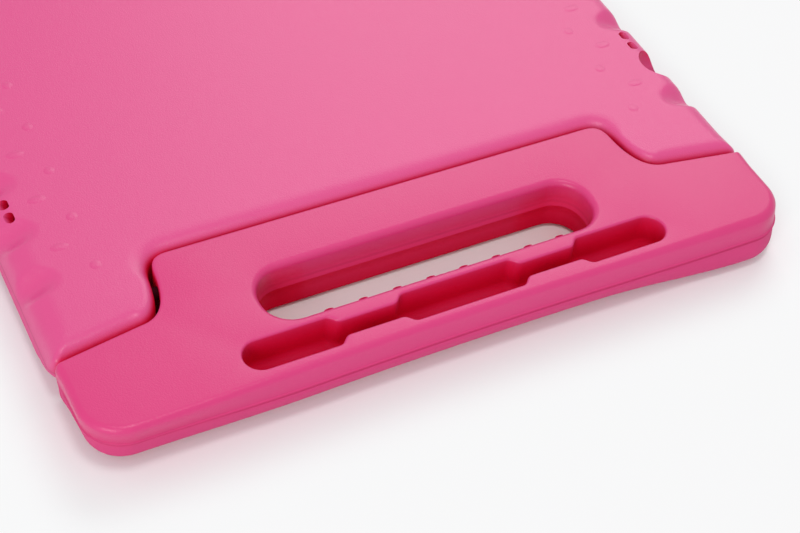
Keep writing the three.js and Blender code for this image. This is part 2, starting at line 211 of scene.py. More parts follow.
def seam_line():
    """The seam's right half on the handle's side, from the tongue's top down to the shoulder."""
    side, top, low = tongue_half, seam_y, seam_y - tongue_depth
    return np.vstack([
        [[0, top], [side - tongue_corner, top]],
        bezier((side - tongue_corner, top), (side - 1.6, top), (side - 0.3, top - 0.42 * tongue_corner),
               (side, top - 1.2 * tongue_corner)),
        bezier((side, top - 1.2 * tongue_corner), (side + 1, low + 0.72 * seam_fillet),
               (side + 0.38 * seam_fillet, low + 1), (side + seam_fillet, low))])


def along_seam(points):
    """Shares of each point on the tongue's top and on the shoulder: the rest is the tongue's cheek."""
    top = 1 - smooth(seam_y - points[:, 1], 0.2 * tongue_corner, 1.4 * tongue_corner)
    shoulder = smooth(np.abs(points[:, 0]), tongue_half, tongue_half + 1.4 * seam_fillet)
    return top, shoulder


class Skin:
    """A closed surface put together from rings of points, bands between them and flat ends."""

    def __init__(self):
        self.points = []
        self.faces = []

    def ring(self, plan, heights):
        """Adds a ring and returns its point numbers."""
        start = len(self.points)
        heights = np.broadcast_to(heights, len(plan))
        self.points.extend(np.column_stack([plan, heights]).tolist())
        return list(range(start, len(self.points)))

    def band(self, lower, upper):
        """Faces between two rings of as many points. They face out where upper lies above lower."""
        count = len(lower)
        for i in range(count):
            after = (i + 1) % count
            self.faces.append((lower[i], lower[after], upper[after], upper[i]))

    def rings(self, plans, heights):
        """A stack of rings with its bands, from the first to the last."""
        stack = [self.ring(plan, height) for plan, height in zip(plans, heights)]
        for lower, upper in zip(stack, stack[1:]):
            self.band(lower, upper)
        return stack[0], stack[-1]

    def fill(self, outer, holes=(), inside=(), height=0.0, upwards=True):
        """A flat face between a ring and the holes in it, with more points inside it where it has to bend."""
        loops = [outer, *holes]
        numbers = [number for loop in loops for number in loop]
        plan = [Vector(self.points[number][:2]) for number in numbers]
        edges = []
        start = 0
        for loop in loops:
            edges += [(start + i, start + (i + 1) % len(loop)) for i in range(len(loop))]
            start += len(loop)
        for point in inside:
            numbers.append(len(self.points))
            self.points.append([point[0], point[1], height])
            plan.append(Vector(point))
        flat, _, faces, origin, _, _ = delaunay_2d_cdt(plan, edges, [], 0, 1e-7)
        flat = np.array([list(point) for point in flat])
        faces = np.array([face for face in faces if len(face) == 3])
        centres = flat[faces].mean(axis=1)
        odd = np.zeros(len(faces), bool)
        for first, second in edges:
            (x1, y1), (x2, y2) = plan[first], plan[second]
            crosses = (y1 > centres[:, 1]) != (y2 > centres[:, 1])
            rise = y2 - y1 if y2 != y1 else 1
            odd ^= crosses & (centres[:, 0] < (x2 - x1) * (centres[:, 1] - y1) / rise + x1)
        for face in faces[odd]:
            corners = [numbers[origin[corner][0]] for corner in face]
            self.faces.append(tuple(corners if upwards else corners[::-1]))

    def mesh(self, name, shape=None):
        """The finished object. shape may move its points first, as an array in millimetres."""
        points = np.array(self.points)
        if shape:
            points = shape(points)
        data = bpy.data.meshes.new(name)
        data.from_pydata((points * MM).tolist(), [], self.faces)
        data.validate()
        thing = bpy.data.objects.new(name, data)
        bpy.context.scene.collection.objects.link(thing)
        return thing


def shell_outline(ear_corner):
    """The shell's outline for one radius of the ears' corners."""
    seam = even(seam_line(), seam_step, closed=False)
    step = unit(np.gradient(seam, axis=0))
    top, shoulder = along_seam(seam)
    gap = (cheek_gap * (1 - shoulder) + running_gap * shoulder) * (1 - top) + tongue_gap * top
    seam = seam + np.column_stack([-step[:, 1], step[:, 0]]) * gap[:, None]
    slope = shoulder_fall / (handle_half - tongue_half - seam_fillet)
    ear_y = seam[-1][1] - slope * (shell_half - seam[-1][0])
    ear, side, beside_pocket = (shell_half, ear_y), (shell_half, shell_far), (shell_half, ear_y + ear_side)
    seam = resampled(seam, seam_count)
    corner = np.vstack([seam[-1:], fillet(ear, seam[-1], side, ear_corner), [beside_pocket]])
    rest = np.vstack([[beside_pocket], fillet(side, ear, (0, shell_far), far_corner, 40), [[0, shell_far]]])
    corner, rest = resampled(corner, ear_count), resampled(rest, side_count)
    return mirrored(np.vstack([seam[1:], corner[1:], rest[1:-1]]))


def edge_rounds(points):
    """How wide and how deep the round of the back's edge is at each point of the shell's outline."""
    top, shoulder = along_seam(points)
    cheek = cheek_round * (1 - shoulder) + shoulder_round * shoulder
    seam_width = cheek * (1 - top) + tongue_top_round * top
    seam_depth = seam_round_depth + shoulder_more_depth * shoulder
    beside = smooth(points[:, 1], *(seam_y - tongue_depth + level for level in ear_blend))
    outer = np.where(np.abs(points[:, 0]) > shell_half - ear_corner_back - 2, beside, 0)
    outer = np.where(points[:, 1] > seam_y + sides_from, 1, outer)
    width = seam_width * (1 - outer) + back_round * outer
    depth = seam_depth * (1 - outer) + back_round * outer
    return width, depth, outer


# The dishes, dots and ovals along both sides keep one pitch
pitch = 27.2
first_dish = seam_y + 3.2
dish_rows = int((shell_far - far_corner - first_dish) // pitch) + 1
dish_half_width, dish_half_length, dish_depth = 10.5, 8.5, 3.4
dish_tilt = math.radians(30)
dish_reach_down, dish_stop = 12, middle - 2
jack_y = tablet_near + 20.0
jack_tilt = math.radians(45)
jack_half_width, jack_half_length, jack_depth = 9.0, 9.5, 7.0


def dished(points):
    """Presses the soft dishes into the rounded edges of both sides."""
    points = points.copy()
    edge_x = shell_half - back_round * (1 - math.sin(dish_tilt))
    edge_z = thickness - back_round * (1 - math.cos(dish_tilt))
    for side in (-1, 1):
        out = np.array([side * math.sin(dish_tilt), 0, math.cos(dish_tilt)])
        across = np.array([side * math.cos(dish_tilt), 0, -math.sin(dish_tilt)])
        for row in range(dish_rows):
            y = first_dish + row * pitch
            if side > 0 and abs(y - jack_y) < pitch / 2:
                continue
            offset = points - [side * edge_x, y, edge_z]
            reach = (offset @ across / dish_half_width) ** 2 + (offset[:, 1] / dish_half_length) ** 2
            near = (reach < 1) & (offset @ out > -dish_reach_down) & (points[:, 2] > dish_stop)
            press = dish_depth * np.clip(1 - reach, 0, 1) ** 2
            points[near] -= press[near, None] * out
    return points


outline = shell_outline(ear_corner_back)
width, depth, outer = edge_rounds(outline)
ear_point = np.argmax(outline[:, 0] - outline[:, 1])
front_width = front_round * outer + seam_front_round * (1 - outer)
corner_margin = 2
round_ease = 0.86
shell = Skin()
plans, heights = [], []


def shell_ring(inset, height):
    """One ring of the shell's wall. The ears' corners grow rounder towards the front."""
    ear_inset, ear_height = (np.broadcast_to(value, len(outer))[ear_point] for value in (inset, height))
    ear_corner = ear_corner_back + (ear_corner_front - ear_corner_back) * (1 - ear_height / thickness) ** 2
    plan = shell_outline(max(ear_corner, ear_inset + corner_margin))
    plans.append(plan - outwards(plan) * np.broadcast_to(inset, len(plan))[:, None])
    heights.append(height)


arc = np.linspace(0, math.pi / 2, 15)
for angle in arc[::-2]:
    shell_ring(front_width * (1 - math.cos(angle)), front_width * (1 - math.sin(angle)))
for share in np.linspace(0, 1, 9)[1:-1]:
    shell_ring(0, front_width * (1 - share) + (thickness - depth) * share)
for angle in arc:
    shell_ring(width * (1 - math.cos(angle) ** round_ease),
               thickness - depth * (1 - math.sin(angle) ** round_ease))
front_ring, back_ring = shell.rings(plans, heights)

# The back's camera hole flares softly, and the pocket under it holds the tablet
lens_from_edge, lens_radius = 13.5, 7.5
lens_x, lens_y = tablet_edge - lens_from_edge, tablet_far - pocket_play - lens_from_edge
turn_steps = np.linspace(0, 2 * math.pi, 64, endpoint=False)
lens = np.column_stack([np.cos(turn_steps), np.sin(turn_steps)])
lens_centre = np.array([lens_x, lens_y])
lens_flare = [(ceiling, 0), (ceiling + 0.5, 0), (18.0, 0.3), (21.0, 0.5), (23.0, 0.9), (24.2, 1.5),
              (24.8, 2.2), (thickness, 3.0)]
lens_rings = [shell.ring(lens_centre + lens * (lens_radius + flare), height) for height, flare in lens_flare]
lens_rim = lens_radius + lens_flare[-1][1]
for lower, upper in zip(lens_rings, lens_rings[1:]):
    shell.band(upper, lower)

# The points inside the back follow its strips of dishes closely and the plain middle loosely
close_step, loose_step, loose_half = 1.2, 12, 114
strip_x = np.arange(shell_half - 23, shell_half - back_round - 0.8, close_step)
strip_y = np.arange(seam_y - 24, shell_far - 26, close_step)
strips = [(side * x, y) for side in (-1, 1) for x in strip_x for y in strip_y
          if math.hypot(side * x - lens_x, y - lens_y) > lens_rim + 1]
loose_x = np.arange(-loose_half, loose_half + 1, loose_step)
loose_y = np.arange(seam_y + 16, shell_far - 14, loose_step)
loose = [(x, y) for x in loose_x for y in loose_y if math.hypot(x - lens_x, y - lens_y) > lens_rim + 3]
shell.fill(back_ring, [lens_rings[-1]], strips + loose, thickness)

# The lip's mouth flares towards the front, and the pocket behind it runs up to the back wall
window = rounded_box(tablet_half - lip_overlap, tablet_near + lip_overlap, tablet_far - lip_overlap,
                     tablet_corner)
window_out = outwards(window)
pocket = window + window_out * lip_overlap
mouth = [window + window_out * lip_flare * share for share in (1.35, 1.12, 1.0, 0.5, 0.1, 0, 0.06, 0.25)]
mouth_heights = [0, 0.25, 0.8, 2.6, 4.4, 5.1, 5.75, lip]
mouth_ring, lip_ring = (shell.ring(plan, height) for plan, height in ((mouth[0], 0), (mouth[-1], lip)))
last = mouth_ring
for plan, height in zip(mouth[1:-1], mouth_heights[1:-1]):
    ring = shell.ring(plan, height)
    shell.band(ring, last)
    last = ring
shell.band(lip_ring, last)
pocket_low = shell.ring(pocket, lip)
pocket_high = shell.ring(pocket, ceiling)
shell.band(pocket_low, lip_ring)
shell.band(pocket_high, pocket_low)
shell.fill(pocket_high, [lens_rings[0]], [], ceiling, upwards=False)
shell.fill(front_ring, [mouth_ring], [], 0.0, upwards=False)
case_shell = shell.mesh("foam_shell", dished)


def slot_cutter(name, place, half_width, half_length, reach, tilt, side):
    """A long round-ended cutter that starts at place and runs out of the side, tilted up from level."""
    cutter = Skin()
    plan = rounded_box(half_width, -half_length, half_length, min(half_width, half_length) * 0.98, 0.5)
    low, high = cutter.rings([plan, plan], [0, reach])
    cutter.fill(low, upwards=False)
    cutter.fill(high)
    thing = cutter.mesh(name)
    lean = Matrix.Rotation(side * (math.pi / 2 - tilt), 4, "Y")
    thing.data.transform(Matrix.Translation(Vector(place) * MM) @ lean)
    return thing


def egg_cutter(name, place, half_sizes, tilt):
    """An egg-shaped cutter, tilted outwards from upright."""
    work = bmesh.new()
    bmesh.ops.create_icosphere(work, subdivisions=5, radius=1)
    data = bpy.data.meshes.new(name)
    work.to_mesh(data)
    work.free()
    thing = bpy.data.objects.new(name, data)
    bpy.context.scene.collection.objects.link(thing)
    scale = Matrix.Diagonal([*(np.array(half_sizes) * MM), 1])
    data.transform(Matrix.Translation(Vector(place) * MM) @ Matrix.Rotation(tilt, 4, "Y") @ scale)
    return thing


def carve(thing, cutters, operation="DIFFERENCE"):
    """Cuts every cutter out of a piece, or joins it on, and keeps the plain mesh."""
    for cutter in cutters:
        change = thing.modifiers.new("cut", "BOOLEAN")
        change.operation = operation
        change.object = cutter
        change.solver = "EXACT"
    graph = bpy.context.evaluated_depsgraph_get()
    carved = bpy.data.meshes.new_from_object(thing.evaluated_get(graph))
    thing.modifiers.clear()
    thing.data = carved
    for cutter in cutters:
        bpy.data.objects.remove(cutter)


# Holes for the speakers, the jack and the port, and soft pads over the buttons
tablet_level = lip + 3.05
speaker_from_edge, speaker_spacing, speaker_tilt = 36.0, 7.2, math.radians(39.6)
speaker_half_width, speaker_half_length, speaker_reach = 1.5, 2.6, 34
speaker_inset, socket_inset, socket_reach = 4, 1, 30
jack_radius, port_half_width, port_half_length = 4.2, 4, 7
button_level = tablet_level + 1
volume_x, power_y = tablet_edge - 38, tablet_far - 20.4
pad_sunk = 2.2
volume_recess, power_recess = (18.5, 2.2, 4.75), (2.2, 10.5, 4.75)
volume_pad, power_pad = (15, 1.8, 3), (1.8, 7, 3)
cutters = []
for side in (-1, 1):
    for edge, sense in ((tablet_near + pocket_play, 1), (tablet_far - pocket_play, -1)):
        for shift in (-0.5, 0.5):
            y = edge + sense * (speaker_from_edge + shift * speaker_spacing)
            start = (side * (tablet_edge - speaker_inset), y, tablet_level)
            cutters.append(slot_cutter("speaker", start, speaker_half_width, speaker_half_length,
                                       speaker_reach, speaker_tilt, side))
socket_x, port_y = tablet_edge - socket_inset, (tablet_near + tablet_far) / 2
cutters.append(slot_cutter("jack", (socket_x, jack_y, tablet_level), jack_radius, jack_radius,
                           socket_reach, 0, 1))
cutters.append(slot_cutter("port", (-socket_x, port_y, tablet_level), port_half_width, port_half_length,
                           socket_reach, 0, -1))
notch_place = (shell_half - back_round * (1 - math.sin(jack_tilt)), jack_y,
               thickness - back_round * (1 - math.cos(jack_tilt)))
cutters.append(egg_cutter("notch", notch_place, (jack_half_width, jack_half_length, jack_depth), jack_tilt))
cutters.append(egg_cutter("volume_recess", (volume_x, shell_far, button_level), volume_recess, 0))
cutters.append(egg_cutter("power_recess", (shell_half, power_y, button_level), power_recess, 0))
carve(case_shell, cutters)

pads = [egg_cutter("volume_pad", (volume_x, shell_far - pad_sunk, button_level), volume_pad, 0),
        egg_cutter("power_pad", (shell_half - pad_sunk, power_y, button_level), power_pad, 0)]
carve(case_shell, pads, "UNION")


class Socket:
    """A node's output, on which maths can be written as an expression."""

    def __init__(self, graph, socket):
        self.graph = graph
        self.socket = socket

    def maths(self, operation, *values):
        return self.graph.add("ShaderNodeMath", {"operation": operation}, dict(enumerate(values)))

    def __add__(self, other):
        return self.maths("ADD", self, other)

    def __radd__(self, other):
        return self.maths("ADD", other, self)

    def __sub__(self, other):
        return self.maths("SUBTRACT", self, other)

    def __rsub__(self, other):
        return self.maths("SUBTRACT", other, self)

    def __mul__(self, other):
        return self.maths("MULTIPLY", self, other)

    def __rmul__(self, other):
        return self.maths("MULTIPLY", other, self)


class Graph:
    """A node tree, for a material or for geometry, that grows one node at a time."""

    def __init__(self, tree):
        self.tree = tree
        self.tree.nodes.clear()

    def add(self, kind, settings=None, sockets=None, output=0):
        """A node of a kind, with its settings made first, then its sockets' values or links."""
        node = self.tree.nodes.new(kind)
        for key, value in (settings or {}).items():
            setattr(node, key, value)
        for key, value in (sockets or {}).items():
            for one in value if isinstance(value, list) else [value]:
                if isinstance(one, Socket):
                    self.tree.links.new(one.socket, node.inputs[key])
                else:
                    node.inputs[key].default_value = one
        return Socket(self, node.outputs[output]) if node.outputs else None


def material_graph(name):
    """A new material and its empty node tree."""
    material = bpy.data.materials.new(name)
    material.use_nodes = True
    return material, Graph(material.node_tree)


def ramp(shader, value, ends):
    """0 where the value is at the first end, 1 at the second, and even between."""
    return shader.add("ShaderNodeMapRange", {}, {"Value": value, "From Min": ends[0], "From Max": ends[1]})


def mixed(shader, share, first, second):
    """A blend of two colours, each a node's output or three numbers."""
    first, second = (colour if isinstance(colour, Socket) else (*colour, 1) for colour in (first, second))
    return shader.add("ShaderNodeMix", {"data_type": "RGBA"}, {0: share, 6: first, 7: second}, output=2)


# Where the painted shade in the foam's hollows and its polish start and end, in metres from the case's origin
shade_paint_across, shade_paint_near = (0.138, 0.130), (-0.130, -0.125)
shade_paint_height, polish_height = (0.012, 0.020), (0.014, 0.021)
shade_paint_open, shade_paint_reach = (0.84, 0.30), 0.03
parting_drop, parting_edge, parting_shade_share = 0.7, (0.0010, 0.0003), 0.45


def foam(name, colour, shade_colour, seed, shine):
    """Closed-cell foam with the mould's fine grain and a band of painted shade just under the level of the
    parting ridge.

    It is satin where it is open to the light and matt in its gaps, where painted shade deepens its colour.
    """
    material, shader = material_graph(name)
    place = shader.add("ShaderNodeTexCoord", output=3)
    shift = shader.add("ShaderNodeMapping", {}, {"Vector": place, "Location": (seed, seed * 0.7, 0)})
    clouds = shader.add("ShaderNodeTexNoise", {}, {"Vector": shift, "Scale": 9.0, "Detail": 3.0})
    mottle = shader.add("ShaderNodeTexNoise", {}, {"Vector": shift, "Scale": 140.0, "Detail": 2.0})
    grain = shader.add("ShaderNodeTexNoise", {}, {
        "Vector": shift, "Scale": 2400.0, "Detail": 2.0, "Roughness": 0.6})
    cells = shader.add("ShaderNodeTexVoronoi", {"feature": "SMOOTH_F1"}, {
        "Vector": shift, "Scale": 1700.0, "Smoothness": 0.6})
    tone = clouds * 0.4 + mottle * 0.2 + grain * 0.4
    low = tuple(channel * 0.93 for channel in colour)
    high = tuple(min(1, channel * 1.06) for channel in colour)
    paint = mixed(shader, tone, low, high)
    # Where ambient occlusion finds the foam closed in, in its gaps, hollows and seams, a deeper red is
    # painted into the colour as shade.
    open_share = shader.add("ShaderNodeAmbientOcclusion", {"samples": 8}, {"Distance": shade_paint_reach}, output=1)
    across, along, height = (shader.add("ShaderNodeSeparateXYZ", {}, {"Vector": place}, output=axis)
                             for axis in range(3))
    within = ramp(shader, across.maths("ABSOLUTE", across), shade_paint_across) * ramp(shader, along, shade_paint_near)
    above_floor = ramp(shader, height, shade_paint_height)
    closed = ramp(shader, open_share, shade_paint_open) * within.maths("MAXIMUM", within, above_floor)
    # A darker band is painted just under the parting ridge's level, as the shade that the ridge casts.
    below_parting = height - (parting_level - parting_drop) * MM
    parting = ramp(shader, below_parting.maths("ABSOLUTE", below_parting), parting_edge)
    dark = tuple(channel * 0.6 for channel in colour)
    paint = mixed(shader, parting * parting_shade_share, paint, dark)
    paint = mixed(shader, closed, paint, shade_colour)
    relief = cells * 0.6 + grain * 0.5 + mottle * 0.25
    bump = shader.add("ShaderNodeBump", {}, {"Height": relief, "Strength": 0.5, "Distance": 0.00017})
    polish = ramp(shader, height, polish_height)
    rough = 0.63 + 0.12 * grain + 0.06 * clouds - 0.40 * polish
    satin = shader.add("ShaderNodeBsdfPrincipled", {}, {
        "Base Color": paint, "Roughness": rough, "Normal": bump, "Specular IOR Level": shine})
    matt = shader.add("ShaderNodeBsdfPrincipled", {}, {
        "Base Color": paint, "Roughness": 0.9, "Normal": bump, "Specular IOR Level": 0.06})
    surface = shader.add("ShaderNodeMixShader", {}, {0: closed, 1: satin, 2: matt})
    shader.add("ShaderNodeOutputMaterial", {}, {"Surface": surface})
    return material


def dress(thing, material, body, slot, *nodes):
    """Gives a piece its material and its place in the assembly."""
    thing.data.materials.clear()
    thing.data.materials.append(material)
    thing.data.polygons.foreach_set("use_smooth", np.ones(len(thing.data.polygons), bool))
    thing.data.polygons.foreach_set("material_index", np.zeros(len(thing.data.polygons), np.int32))
    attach(thing, body)
    if nodes:
        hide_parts(*nodes)


def sharpen(thing, degrees):
    """Keeps the true corners crisp on a piece that is shaded as one smooth skin."""
    thing.data.set_sharp_from_angle(angle=math.radians(degrees))


shell_pink, handle_pink = (0.66, 0.066, 0.232), (0.63, 0.040, 0.182)
# The deeper red is painted shade for the foam's gaps, hollows and seams.
painted_shade_pink = (0.65, 0.0004, 0.032)
crisp_from = 38
shell_foam = foam("shell_foam", shell_pink, painted_shade_pink, 0.0, 0.42)
dress(case_shell, shell_foam, "shell", "shell_foam", "case_shell")
sharpen(case_shell, crisp_from)


# Grip pips
# Rows of dots and ovals moulded along both sides of the back, between the dishes.
# One row is laid out by geometry nodes from its pitch, and mirrored to the other side.

dot_x, oval_x = 118.3, 127.7
dot_size, oval_size = (4.6, 4.6, 0.19), (7.6, 4.2, 0.21)
pip_sunk = 0.06


def dome(name, size):
    """A flat-topped swelling that runs out level with the surface round it."""
    skin = Skin()
    around = np.linspace(0, 2 * math.pi, 40, endpoint=False)
    circle = np.column_stack([np.cos(around), np.sin(around)]) * np.array(size[:2]) / 2
    shares = [1.0, 0.97, 0.92, 0.86, 0.79, 0.70, 0.58, 0.42, 0.24]
    plans = [circle * share for share in shares]
    swell = [size[2] * (1 - share ** 4) ** 2 for share in shares]
    swell[0] = -pip_sunk
    _, top = skin.rings(plans, swell)
    skin.fill(top, [], [], swell[-1])
    return skin.mesh(name)


def geometry_group(name, inputs):
    """An empty geometry group with named inputs, and a socket for each of them."""
    tree = bpy.data.node_groups.new(name, "GeometryNodeTree")
    graph = Graph(tree)
    tree.interface.new_socket("Geometry", in_out="INPUT", socket_type="NodeSocketGeometry")
    for title, kind in inputs:
        tree.interface.new_socket(title, in_out="INPUT", socket_type=kind)
    tree.interface.new_socket("Geometry", in_out="OUTPUT", socket_type="NodeSocketGeometry")
    start = tree.nodes.new("NodeGroupInput")
    return graph, [Socket(graph, start.outputs[title]) for title, _ in inputs]


def row_of(graph, piece, count, first, step):
    """Copies of an object from a first place onwards, one step apart."""
    line = graph.add("GeometryNodeMeshLine", {}, {"Count": count, "Start Location": first, "Offset": step})
    shape = graph.add("GeometryNodeObjectInfo", {}, {"Object": piece}, output="Geometry")
    return graph.add("GeometryNodeInstanceOnPoints", {}, {"Points": line, "Instance": shape})


def grown(name, graph, values, body, slot, material, masters):
    """The plain mesh that a geometry group makes, without the masters that it copies."""
    thing = bpy.data.objects.new(name, bpy.data.meshes.new(name))
    bpy.context.scene.collection.objects.link(thing)
    change = thing.modifiers.new("grown", "NODES")
    change.node_group = graph.tree
    items = graph.tree.interface.items_tree
    keys = {item.name: item.identifier for item in items if item.in_out == "INPUT"}
    for title, value in values.items():
        change[keys[title]] = value
    depsgraph = bpy.context.evaluated_depsgraph_get()
    plain = bpy.data.meshes.new_from_object(thing.evaluated_get(depsgraph))
    thing.modifiers.clear()
    thing.data = plain
    for master in masters:
        bpy.data.objects.remove(master)
    dress(thing, material, body, slot)
    return thing


pips, (rows, row_pitch, first, dots_at, ovals_at, level, dot, oval, foam_slot) = geometry_group("pips", [
    ("Rows", "NodeSocketInt"), ("Pitch", "NodeSocketFloat"), ("First row", "NodeSocketFloat"),
    ("Dots across", "NodeSocketFloat"), ("Ovals across", "NodeSocketFloat"), ("Level", "NodeSocketFloat"),
    ("Dot", "NodeSocketObject"), ("Oval", "NodeSocketObject"), ("Material", "NodeSocketMaterial")])
step = pips.add("ShaderNodeCombineXYZ", {}, {"Y": row_pitch})
dots_from = pips.add("ShaderNodeCombineXYZ", {}, {"X": dots_at, "Y": first, "Z": level})
ovals_from = pips.add("ShaderNodeCombineXYZ", {}, {"X": ovals_at, "Y": first + row_pitch * 0.5, "Z": level})
dots = row_of(pips, dot, rows, dots_from, step)
ovals = row_of(pips, oval, rows - 1, ovals_from, step)
one_side = pips.add("GeometryNodeJoinGeometry", {}, {"Geometry": [dots, ovals]})
one_side = pips.add("GeometryNodeRealizeInstances", {}, {"Geometry": one_side})
other_side = pips.add("GeometryNodeTransform", {}, {"Geometry": one_side, "Scale": (-1, 1, 1)})
other_side = pips.add("GeometryNodeFlipFaces", {}, {"Mesh": other_side})
both = pips.add("GeometryNodeJoinGeometry", {}, {"Geometry": [one_side, other_side]})
both = pips.add("GeometryNodeSetMaterial", {}, {"Geometry": both, "Material": foam_slot})
pips.add("NodeGroupOutput", {}, {"Geometry": both})
dot_master, oval_master = dome("dot", dot_size), dome("oval", oval_size)
grown("grip_pips", pips, {
    "Rows": dish_rows, "Pitch": pitch * MM, "First row": first_dish * MM, "Dots across": dot_x * MM,
    "Ovals across": oval_x * MM, "Level": thickness * MM, "Dot": dot_master, "Oval": oval_master,
    "Material": shell_foam}, "shell", "shell_foam", shell_foam, [dot_master, oval_master])


# Hinge pins
# Two plain nylon rods, bonded into the shell's ears.
# The handle's tongue turns on their inner ends. Only the left one is glimpsed, in the gap beside the tongue.

def moulded_nylon(name, colour):
    """Smooth nylon with faint turning marks round the rod."""
    material, shader = material_graph(name)
    place = shader.add("ShaderNodeTexCoord", output=3)
    marks = shader.add("ShaderNodeTexNoise", {}, {"Vector": place, "Scale": 900.0, "Detail": 2.0})
    bump = shader.add("ShaderNodeBump", {}, {"Height": marks, "Strength": 0.2, "Distance": 0.0001})
    dark = tuple(channel * 0.8 for channel in colour)
    paint = mixed(shader, marks, dark, colour)
    surface = shader.add("ShaderNodeBsdfPrincipled", {}, {
        "Base Color": paint, "Roughness": 0.6 + 0.12 * marks, "Normal": bump, "Specular IOR Level": 0.03})
    shader.add("ShaderNodeOutputMaterial", {}, {"Surface": surface})
    return material


# The pins are coloured near black as painted shade: the left one shows only in the dark gap beside the
# tongue.
pin_painted_dark = moulded_nylon("pin_painted_dark", (0.03, 0.001, 0.004))
for name in ("hinge_pin_left", "hinge_pin_right"):
    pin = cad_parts[name]
    for material_slot in pin.material_slots:
        material_slot.material = pin_painted_dark


# Carry handle
# A second foam moulding. Its tongue sits between the shell's ears, and it folds back to make a stand.
# The near wall is widest at mid thickness, and the mould's halves meet above that in a ridge and groove.
# The left end draws in towards the front and the right one leans out, which fits the photograph's view.

handle_corner = 18.0
handle_waist = 1.8
handle_end_round = 4.0
handle_back_round, handle_side_round, handle_seam_round, handle_front_round = 2.3, 3.4, 1.2, 8.0
parting_proud, parting_groove, parting_groove_drop = 0.5, 0.55, 0.95
parting_steps = (-1.5, -parting_groove_drop, -0.4, 0, 0.45)
handle_front_draft, handle_back_draft = 4.6, 1.4
left_taper, left_taper_at_ear, right_step, right_lean = 5.4, 0.35, 1.6, 2.9
ear_end = seam_y - tongue_depth - shoulder_fall
handle_end_blend = 9.0
near_wall_even, near_wall_end = 60.0, handle_half - handle_corner
row_x = 2.5


def handle_outline():
    """The handle's outline where it is widest."""
    corner_x = handle_half - handle_corner
    right = np.vstack([
        even(seam_line(), seam_step, closed=False),
        fillet((handle_half, ear_end), (tongue_half + seam_fillet, seam_y - tongue_depth),
               (handle_half, handle_near), handle_end_round),
        fillet((handle_half, handle_near), (handle_half, ear_end), (0, handle_near), handle_corner, 30),
        bezier((corner_x, handle_near), (0.55 * handle_half, handle_near),
               (0.4 * handle_half, handle_near + handle_waist), (0, handle_near + handle_waist))])
    return even(mirrored(right[::-1])[1:-1], outline_step)


def drawn_in(z, size):
    """How far a quarter round has drawn in at a height above its start."""
    share = min(max(z / size, 0), 1)
    return size * (1 - math.sqrt(1 - share * share))


def wall_inset(z, front, back, front_draft=0.0, back_draft=0.0):
    """How far a wall has drawn in at a height, from its rounds and its draft from mid thickness."""
    return (drawn_in(front - z, front) + drawn_in(z - thickness + back, back)
            + front_draft * max(0, 1 - z / middle) + back_draft * max(0, z / middle - 1))


def round_levels(low, high, low_round, high_round, steps, between):
    """Heights that follow a round at each end and an even wall between."""
    angles = np.linspace(0, math.pi / 2, steps + 1)
    return [*(low + low_round * (1 - np.cos(angles))),
            *np.linspace(low + low_round, high - high_round, between + 2)[1:-1],
            *(high - high_round + high_round * np.sin(angles))]


outline = handle_outline()
normals = outwards(outline)
below_seam = seam_y - outline[:, 1]
rim = smooth(below_seam, seam_y - ear_end, seam_y - ear_end + handle_end_blend)
near = (smooth(below_seam, handle_reach - handle_corner, handle_reach - handle_waist)
        * (1 - smooth(np.abs(outline[:, 0]), near_wall_even, near_wall_end)))
along_end = np.clip((ear_end - outline[:, 1]) / (ear_end - handle_near), 0, 1)
tapering = left_taper_at_ear * (1 - along_end) + along_end
handle = Skin()
plans = []
heights = sorted([*round_levels(0, thickness, handle_front_round, handle_back_round, 8, 4),
                  middle, *(parting_level + shift for shift in parting_steps)])
for z in heights:
    near_inset = wall_inset(z, handle_front_round, handle_back_round, handle_front_draft, handle_back_draft)
    to_front = 1 - z / thickness
    ends = wall_inset(z, handle_front_round, handle_side_round) + np.where(
        outline[:, 0] > 0, right_step - right_lean * to_front, left_taper * tapering * to_front)
    seam_inset = wall_inset(z, handle_seam_round, handle_seam_round)
    ridge = {parting_level: parting_proud, parting_level - parting_groove_drop: -parting_groove}.get(z, 0)
    inset = seam_inset * (1 - rim) + (ends * (1 - near) + near_inset * near + parting_proud - ridge) * rim
    plan = outline - normals * inset[:, None]
    widest = handle_half - ends - (parting_proud - ridge) * rim
    plan[:, 0] = np.sign(plan[:, 0]) * np.minimum(np.abs(plan[:, 0]), widest)
    plans.append(plan)
front_ring, back_ring = handle.rings(plans, heights)

# The finger slot runs right through, with a round lip on both faces and a thin parting ridge inside
slot_half_length, slot_half_width, slot_from_seam, slot_round = 70.7, 13.0, 36.2, 2.8
slot_corner = 0.46 * 2 * slot_half_width
slot_ridge, ridge_foot, ridge_flat = 0.45, 0.9, 0.25
slot = rounded_box(slot_half_length, -slot_half_width, slot_half_width, slot_corner, outline_step)
slot_out = outwards(slot)
slot = slot + [row_x - 0.6, seam_y - slot_from_seam]
ridge_levels = [middle - ridge_foot, middle - ridge_flat, middle + ridge_flat, middle + ridge_foot]
slot_levels = sorted([*round_levels(0, thickness, slot_round, slot_round, 7, 3), *ridge_levels])
slot_rings = []
for z in slot_levels:
    flare = drawn_in(slot_round - z, slot_round) + drawn_in(z - thickness + slot_round, slot_round)
    ridge = slot_ridge if abs(z - middle) < 0.5 else 0
    slot_rings.append(handle.ring(slot + slot_out * (flare - ridge), z))
for lower, upper in zip(slot_rings, slot_rings[1:]):
    handle.band(upper, lower)

# The stylus groove: three finger pockets joined by two channels
groove_half, pocket_half, channel_half = 89.0, 6.9, 3.4
end_pocket, middle_pocket, groove_depth, groove_from_seam = 38.2, 25.3, 14.5, 60.5
groove_lip, groove_foot = 1.0, 2.8


